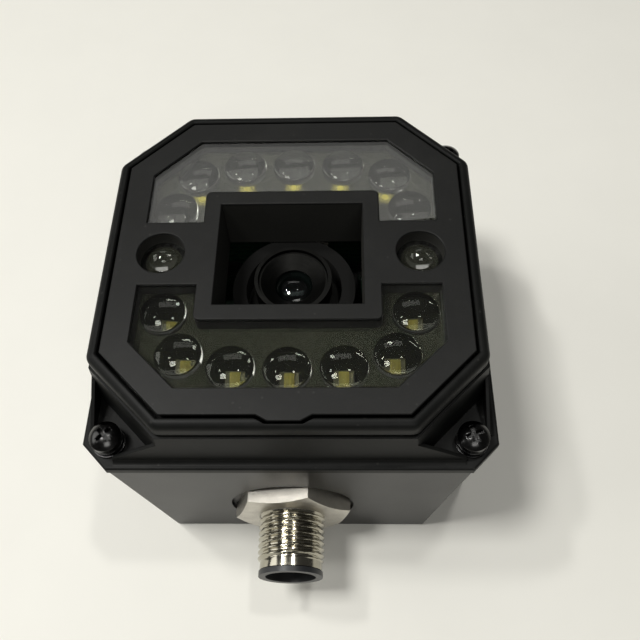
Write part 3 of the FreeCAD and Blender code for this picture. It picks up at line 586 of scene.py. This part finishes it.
def add_gel(bm, lamp, finish):
    """Domed pad of phosphor in the well of one lamp."""
    low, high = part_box(lamp)
    half = (high - low) / 2 - Vector((finish.package_side, finish.package_end, 0.0))
    top = high.z - finish.gel_gap
    made = bmesh.ops.create_cube(bm, size=1.0)["verts"]
    bmesh.ops.scale(bm, vec=(2 * half.x, 2 * half.y, finish.gel_thickness), verts=made)
    centre = Vector(((low.x + high.x) / 2, (low.y + high.y) / 2, top - finish.gel_thickness / 2))
    bmesh.ops.translate(bm, vec=centre, verts=made)
    edges = list({e for v in made for e in v.link_edges})
    bmesh.ops.subdivide_edges(bm, edges=edges, cuts=finish.gel_cuts, use_grid_fill=True)
    for v in bm.verts:
        across = max(abs(v.co.x - centre.x) / half.x, abs(v.co.y - centre.y) / half.y)
        if across < 1.0 and v.co.z > centre.z:
            v.co.z += finish.gel_bulge * (1.0 - across ** 2)


def dome_profile(finish, top, foot):
    """Half section of one lamp lens: its curved top, its rounded shoulder and its side."""
    arm = finish.dome_curve - finish.dome_shoulder
    tilt = math.asin((finish.dome_radius - finish.dome_shoulder) / arm)
    ring = range(finish.dome_rings)
    crown = top - finish.dome_curve
    points = []
    for share_of in (k / finish.dome_rings for k in ring):
        points.append((finish.dome_curve * math.sin(tilt * share_of),
                       crown + finish.dome_curve * math.cos(tilt * share_of)))
    across = arm * math.sin(tilt)
    middle_height = crown + arm * math.cos(tilt)
    for share_of in (k / (finish.dome_rings - 1) for k in ring):
        lean = tilt + (math.pi / 2 - tilt) * share_of
        points.append((across + finish.dome_shoulder * math.sin(lean),
                       middle_height + finish.dome_shoulder * math.cos(lean)))
    return points + [(finish.dome_radius, foot)]


def add_dome(bm, lamp, profile, segments):
    """Turns one lamp lens about the upright through its lamp."""
    centre = middle(lamp)
    verts = [bm.verts.new((centre.x + radius, centre.y, height)) for radius, height in profile]
    edges = [bm.edges.new(pair) for pair in zip(verts, verts[1:])]
    bmesh.ops.spin(bm, geom=verts + edges, cent=centre, axis=(0, 0, 1), angle=math.tau, steps=segments,
                   use_merge=True, use_duplicate=False)


def turned_barrel(bm, centre, front, finish):
    """Barrel of the connector, turned about its axis: neck, ground for the thread, nose and bore."""
    end = finish.barrel_length
    thread_start = finish.neck_length
    thread_end = end - finish.nose_length
    profile = [(finish.bore_radius, -BARREL_SINK), (finish.neck_radius, -BARREL_SINK),
               (finish.neck_radius, thread_start), (finish.nose_radius, thread_end),
               (finish.nose_radius, end - finish.nose_chamfer),
               (finish.nose_radius - finish.nose_chamfer, end), (finish.bore_radius, end)]
    verts = [bm.verts.new((centre.x + radius, front - out, centre.z)) for radius, out in profile]
    edges = [bm.edges.new(pair) for pair in zip(verts, verts[1:] + verts[:1])]
    turns = (thread_end - thread_start) / finish.thread_pitch
    bmesh.ops.subdivide_edges(bm, edges=[edges[2]], cuts=round(turns * finish.rows_per_turn))
    bmesh.ops.spin(bm, geom=bm.verts[:] + bm.edges[:], cent=(centre.x, front, centre.z), axis=(0, 1, 0),
                   angle=math.tau, steps=finish.segments, use_merge=True, use_duplicate=False)


def cut_thread(bm, centre, front, finish):
    """Moves the ground between neck and nose to a right-hand thread that runs out at both ends."""
    start = finish.neck_length
    stop = finish.barrel_length - finish.nose_length
    inside = (finish.bore_radius + finish.nose_radius) / 2
    for v in bm.verts:
        out = front - v.co.y
        arm = Vector((v.co.x - centre.x, 0.0, v.co.z - centre.z))
        if not start - ROUNDING <= out <= stop + ROUNDING or arm.length < inside:
            continue
        turn = math.atan2(arm.z, arm.x) / math.tau
        phase = (out / finish.thread_pitch - turn) % 1.0
        flank = min(max((abs(2.0 * phase - 1.0) - finish.crest_share) / finish.flank_share, 0.0), 1.0)
        radius = finish.crest_radius - finish.thread_depth * flank
        lead_in = min(finish.neck_radius + out - start, finish.nose_radius + stop - out)
        arm.length = min(radius, max(lead_in, finish.bore_radius))
        v.co.x, v.co.z = centre.x + arm.x, centre.z + arm.z


def add_hexagon(bm, centre, front, finish):
    """Adds the connector's hexagon without its plain barrel, turned to where it was tightened."""
    hexagon = bmesh.new()
    hexagon.from_mesh(NODES["connector_shell"].data)
    bmesh.ops.remove_doubles(hexagon, verts=hexagon.verts[:], dist=WELD)
    bmesh.ops.bisect_plane(hexagon, geom=hexagon.verts[:] + hexagon.edges[:] + hexagon.faces[:],
                           plane_co=(0.0, front - HEXAGON_TRIM, 0.0), plane_no=(0.0, -1.0, 0.0),
                           clear_outer=True)
    bmesh.ops.rotate(hexagon, cent=centre, matrix=Matrix.Rotation(finish.hexagon_turn, 3, "Y"),
                     verts=hexagon.verts[:])
    part = bpy.data.meshes.new("hexagon_part")
    hexagon.to_mesh(part)
    hexagon.free()
    bm.from_mesh(part)
    bpy.data.meshes.remove(part)


def hang_panel(name, direction, distance, size, energy, height):
    """Rectangular light in a direction from the reader, aimed at the middle at that height."""
    light = bpy.data.lights.new(name, "AREA")
    light.shape = "RECTANGLE"
    light.size, light.size_y = size
    light.energy = energy
    light.color = PANEL_COLOUR
    panel = bpy.data.objects.new(name, light)
    aim = Vector(direction).normalized()
    panel.location = aim * distance + Vector((0.0, 0.0, height))
    panel.rotation_mode = "QUATERNION"
    panel.rotation_quaternion = aim.to_track_quat("Z", "Y")
    bpy.context.scene.collection.objects.link(panel)


# Operators


class READER_OT_housing(bpy.types.Operator):
    """Gives the rear housing, the front cover and the seals their finish"""

    bl_idname = "reader.housing"
    bl_label = "Finish the housing"

    def execute(self, context):
        finish = context.scene.reader_housing
        body = moulding("coated_housing", finish.body_colour, finish.body_roughness, finish.grain,
                        depth=0.000014, dust=finish.dust, edge=finish.edge,
                        specular_ior_level=finish.body_sheen)
        cover = moulding("satin_cover", finish.cover_colour, finish.cover_roughness, finish.grain,
                         depth=0.000008, dust=finish.dust, edge=finish.edge,
                         specular_ior_level=finish.cover_sheen)
        rubber = moulding("seal_rubber", finish.rubber_colour, roughness=0.72, grain=0.0004)
        dress(body, "housing_black")
        dress(cover, "cover_black")
        dress(rubber, "black_rubber")
        return {"FINISHED"}


class READER_OT_face(bpy.types.Operator):
    """Gives the mask plate, the baffle and the clear mouldings their finish"""

    bl_idname = "reader.face"
    bl_label = "Finish the face"

    def execute(self, context):
        finish = context.scene.reader_face
        mask = moulding("mask_grain", finish.mask_colour, finish.mask_roughness, finish.mask_grain,
                        mottle=0.3, dust=0.03, edge=0.00012, specular_ior_level=0.29)
        # Painted shade: the baffle's up-facing faces, and the frame behind the glass all over, are darkened
        # by the baffle's top factor.
        baffle = moulding("baffle_plastic", finish.baffle_colour, roughness=0.6, grain=0.0003,
                          top=finish.baffle_top_shade, specular_ior_level=0.2)
        shaded_spacer = moulding("spacer_plastic", toned(finish.baffle_colour, finish.baffle_top_shade), roughness=0.65,
                          grain=0.0003, specular_ior_level=0.2)
        sheet = clear_moulding("cover_sheet", finish.clear_colour, finish.clear_index, roughness=0.006,
                               grain=0.02, wave=0.0000004)
        lenses = clear_moulding("lamp_lenses", finish.clear_colour, finish.clear_index, roughness=0.015,
                                grain=0.004, veil=lambda tree, clear: frosted_flats(tree, clear, finish))
        dress(mask, "mask_grey")
        dress(baffle, "baffle_black")
        dress_node(shaded_spacer, "glass_frame")
        dress(lenses, "clear_plastic")
        dress_node(sheet, "cover_glass")
        self.set_lenses(finish, lenses)
        return {"FINISHED"}

    def set_lenses(self, finish, material):
        """Cuts the lens plate above its flats and sets finely turned lenses on it."""
        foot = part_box("glass_frame")[0].z + finish.dome_foot
        bm = bmesh.new()
        bm.from_mesh(NODES["lens_window"].data)
        bmesh.ops.remove_doubles(bm, verts=bm.verts[:], dist=WELD)
        bmesh.ops.bisect_plane(bm, geom=bm.verts[:] + bm.edges[:] + bm.faces[:], plane_co=(0.0, 0.0, foot),
                               plane_no=(0.0, 0.0, 1.0), clear_outer=True)
        profile = dome_profile(finish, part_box("lens_window")[1].z, foot)
        for lamp in nodes_in("lamp_yellow"):
            add_dome(bm, lamp, profile, finish.dome_segments)
        piece = finished_piece(bm, "lamp_lens_plate", [material])
        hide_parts("lens_window")


class READER_OT_lamps(bpy.types.Operator):
    """Fills the fourteen lamps with phosphor gel and finishes them, the aiming lamps and their board"""

    bl_idname = "reader.lamps"
    bl_label = "Fill the lamps"

    def execute(self, context):
        finish = context.scene.reader_lamps
        gel = moulding("phosphor_gel", finish.phosphor_colour, roughness=0.5, grain=0.00012, mottle=0.25,
                       specular_ior_level=0.2)
        package = moulding("lamp_package", finish.package_colour, roughness=0.5, grain=0.0003,
                           specular_ior_level=0.2)
        aimer = clear_moulding("aimer_epoxy", finish.aimer_colour, finish.aimer_index, roughness=0.04,
                               grain=0.002)
        board = circuit_board("lamp_board", finish.board_colour, toned(finish.board_colour, 1.15),
                              pitch=0.0022, roughness=0.7, gloss=0.0)
        bm = bmesh.new()
        for lamp in nodes_in("lamp_yellow"):
            add_gel(bm, lamp, finish)
        finished_piece(bm, "lamp_gels", [gel])
        dress(package, "lamp_yellow")
        dress(aimer, "aimer_clear")
        dress(board, "lamp_board_olive")
        return {"FINISHED"}


class READER_OT_camera_lens(bpy.types.Operator):
    """Gives the camera lens, its glass and its holder their finish"""

    bl_idname = "reader.camera_lens"
    bl_label = "Finish the camera lens"

    def execute(self, context):
        finish = context.scene.reader_lens
        barrel = plated("lens_anodised", finish.barrel_colour, shade=0.7, roughness=0.45,
                        stretch=(300.0, 300.0, 1.0 / finish.turning), depth=0.00002)
        glass = clear_moulding("coated_glass", finish.glass_colour, finish.glass_index, roughness=0.01,
                               grain=0.006)
        # Painted shade: what faces up on the holder is darkened to 0.35 of its colour.
        holder = moulding("holder_plastic", finish.barrel_colour, roughness=0.62, grain=0.0003, top=0.35,
                          specular_ior_level=0.1)
        dress(barrel, "lens_black")
        dress(glass, "lens_glass")
        dress(holder, "holder_black")
        return {"FINISHED"}


class READER_OT_boards(bpy.types.Operator):
    """Gives the inner boards, their chips and their sockets their finish"""

    bl_idname = "reader.boards"
    bl_label = "Finish the boards"

    def execute(self, context):
        finish = context.scene.reader_boards
        board = circuit_board("inner_board", finish.mask_colour, finish.track_colour, finish.track_pitch,
                              roughness=0.4, gloss=0.4)
        dress(board, "board_green")
        dress(moulding("chip_package", finish.chip_colour, roughness=0.55, grain=0.0002), "chip_black")
        # Painted shade: the white sockets get a dimmed beige for their place deep inside the reader.
        dress(moulding("socket_nylon", finish.socket_colour, roughness=0.48, grain=0.0004), "socket_white")
        return {"FINISHED"}


class READER_OT_fasteners(bpy.types.Operator):
    """Gives the screws, washers and spacers their finish"""

    bl_idname = "reader.fasteners"
    bl_label = "Finish the fasteners"

    def execute(self, context):
        finish = context.scene.reader_connector
        black = plated("blackened_screw", finish.screw_colour, shade=0.6, roughness=0.2,
                       stretch=(2500.0, 2500.0, 2500.0), depth=0.000006, edge=0.00012)
        steel = plated("plain_steel", finish.steel_colour, shade=0.75, roughness=0.3,
                       stretch=(3000.0, 3000.0, 500.0))
        dress(black, "screw_black")
        dress(steel, "steel")
        return {"FINISHED"}


class READER_OT_connector(bpy.types.Operator):
    """Turns the connector's threaded barrel on to its hexagon and finishes the connector"""

    bl_idname = "reader.connector"
    bl_label = "Turn the connector"

    def execute(self, context):
        finish = context.scene.reader_connector
        centre = middle("connector_shell")
        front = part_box("connector_shell")[0].y + finish.barrel_length
        cast = plated("nickel_cast", finish.nickel_colour, shade=0.8, roughness=0.40,
                      stretch=(4200.0, 4200.0, 4200.0), depth=0.00003, uneven=0.3)
        # Painted shade: the barrel's nickel is darker than the hexagon's, for the shade in the thread's
        # troughs.
        turned = plated("nickel_turned", finish.barrel_colour, shade=0.8, roughness=0.15,
                        stretch=(5200.0, 900.0, 5200.0), depth=0.000003, uneven=0.2)
        bm = bmesh.new()
        turned_barrel(bm, centre, front, finish)
        cut_thread(bm, centre, front, finish)
        for face in bm.faces:
            face.material_index = 1
        add_hexagon(bm, centre, front, finish)
        piece = finished_piece(bm, "connector_threaded_shell", [cast, turned], smooth_angle=28.0)
        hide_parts("connector_shell")
        dress(cast, "nickel")
        insert = moulding("insert_plastic", finish.insert_colour, roughness=0.42, grain=0.0003,
                          depth=0.000008)
        dress(insert, "insert_black")
        dress(plated("gold_pin", finish.gold_colour, shade=0.8, roughness=0.18,
                     stretch=(3000.0, 600.0, 3000.0)), "gold")
        return {"FINISHED"}


class READER_OT_stage(bpy.types.Operator):
    """Sets the floor, the lights and the camera"""

    bl_idname = "reader.stage"
    bl_label = "Set the stage"

    def execute(self, context):
        stage = context.scene.reader_stage
        self.lay_floor(stage)
        height = stage.light_height
        hang_panel("key_panel", (-0.339, -0.06, 0.94), 0.6, (0.12, 0.12), stage.key_energy, height)
        hang_panel("left_lamp", (-0.46, 0.19, 0.87), 1.0, (0.09, 0.055), stage.left_energy, height)
        hang_panel("side_card", (-0.90, 0.10, 0.42), 1.0, (0.80, 0.50), stage.side_energy, height)
        hang_panel("right_lamp", (0.20, 0.16, 0.965), 1.0, (0.08, 0.055), stage.right_energy, height)
        hang_panel("far_card", (-0.06, 0.70, 0.71), 1.0, (0.60, 0.26), stage.far_energy, height)
        hang_panel("near_card", (0.15, -0.62, 0.77), 1.0, (0.50, 0.35), stage.near_energy, height)
        world = bpy.data.worlds.new("studio_room")
        world.use_nodes = True
        background = next(n for n in world.node_tree.nodes if n.type == "BACKGROUND")
        background.inputs["Color"].default_value = rgba(ROOM_COLOUR)
        background.inputs["Strength"].default_value = stage.world_strength
        context.scene.world = world
        context.scene.view_settings.view_transform = "Standard"
        self.set_camera(context, stage)
        return {"FINISHED"}

    def lay_floor(self, stage):
        """Lays the pale table top under the reader."""
        bm = bmesh.new()
        bmesh.ops.create_grid(bm, x_segments=4, y_segments=4, size=stage.floor_half)
        mesh = bpy.data.meshes.new("table_top")
        bm.to_mesh(mesh)
        bm.free()
        mesh.materials.append(moulding("table_paper", stage.floor_colour, roughness=0.62, grain=0.02,
                                       depth=0.00002, mottle=0.02))
        floor = bpy.data.objects.new("table_top", mesh)
        bpy.context.scene.collection.objects.link(floor)

    def set_camera(self, context, stage):
        """Stands the camera where it shows the reader at the photograph's angle."""
        lens = bpy.data.cameras.new("photo_camera")
        lens.sensor_width = stage.sensor_width
        lens.lens = stage.focal_length
        lens.clip_start = 0.005
        camera = bpy.data.objects.new("photo_camera", lens)
        level = math.cos(stage.elevation)
        back = Vector((math.sin(stage.azimuth) * level, -math.cos(stage.azimuth) * level,
                       math.sin(stage.elevation)))
        camera.location = stage.camera_place
        camera.rotation_mode = "QUATERNION"
        camera.rotation_quaternion = back.to_track_quat("Z", "Y") @ Quaternion((0.0, 0.0, 1.0), stage.roll)
        context.scene.collection.objects.link(camera)
        context.scene.camera = camera


class READER_PT_panel(bpy.types.Panel):
    """Steps that dress the reader"""

    bl_idname = "READER_PT_panel"
    bl_label = "Barcode reader"
    bl_space_type = "VIEW_3D"
    bl_region_type = "UI"
    bl_category = "Reader"

    def draw(self, context):
        for operator in OPERATORS:
            self.layout.operator(operator.bl_idname)
        for name in SETTINGS:
            box = self.layout.box()
            settings = getattr(context.scene, name)
            for field in settings.bl_rna.properties.keys():
                if field not in ("rna_type", "name"):
                    box.prop(settings, field)


SETTINGS = {
    "reader_housing": HousingFinish,
    "reader_face": FaceFinish,
    "reader_lamps": LampFinish,
    "reader_lens": LensFinish,
    "reader_boards": BoardFinish,
    "reader_connector": ConnectorFinish,
    "reader_stage": StageSettings,
}
OPERATORS = (
    READER_OT_housing,
    READER_OT_face,
    READER_OT_lamps,
    READER_OT_camera_lens,
    READER_OT_boards,
    READER_OT_fasteners,
    READER_OT_connector,
    READER_OT_stage,
)


def register():
    for kind in (*SETTINGS.values(), *OPERATORS, READER_PT_panel):
        bpy.utils.register_class(kind)
    for name, kind in SETTINGS.items():
        setattr(bpy.types.Scene, name, PointerProperty(type=kind))


def unregister():
    for name in SETTINGS:
        delattr(bpy.types.Scene, name)
    for kind in (READER_PT_panel, *reversed(OPERATORS), *reversed(SETTINGS.values())):
        bpy.utils.unregister_class(kind)


def main():
    register()
    bpy.ops.reader.housing()
    bpy.ops.reader.face()
    bpy.ops.reader.lamps()
    bpy.ops.reader.camera_lens()
    bpy.ops.reader.boards()
    bpy.ops.reader.fasteners()
    bpy.ops.reader.connector()
    bpy.ops.reader.stage()


if __name__ == "__main__":
    main()
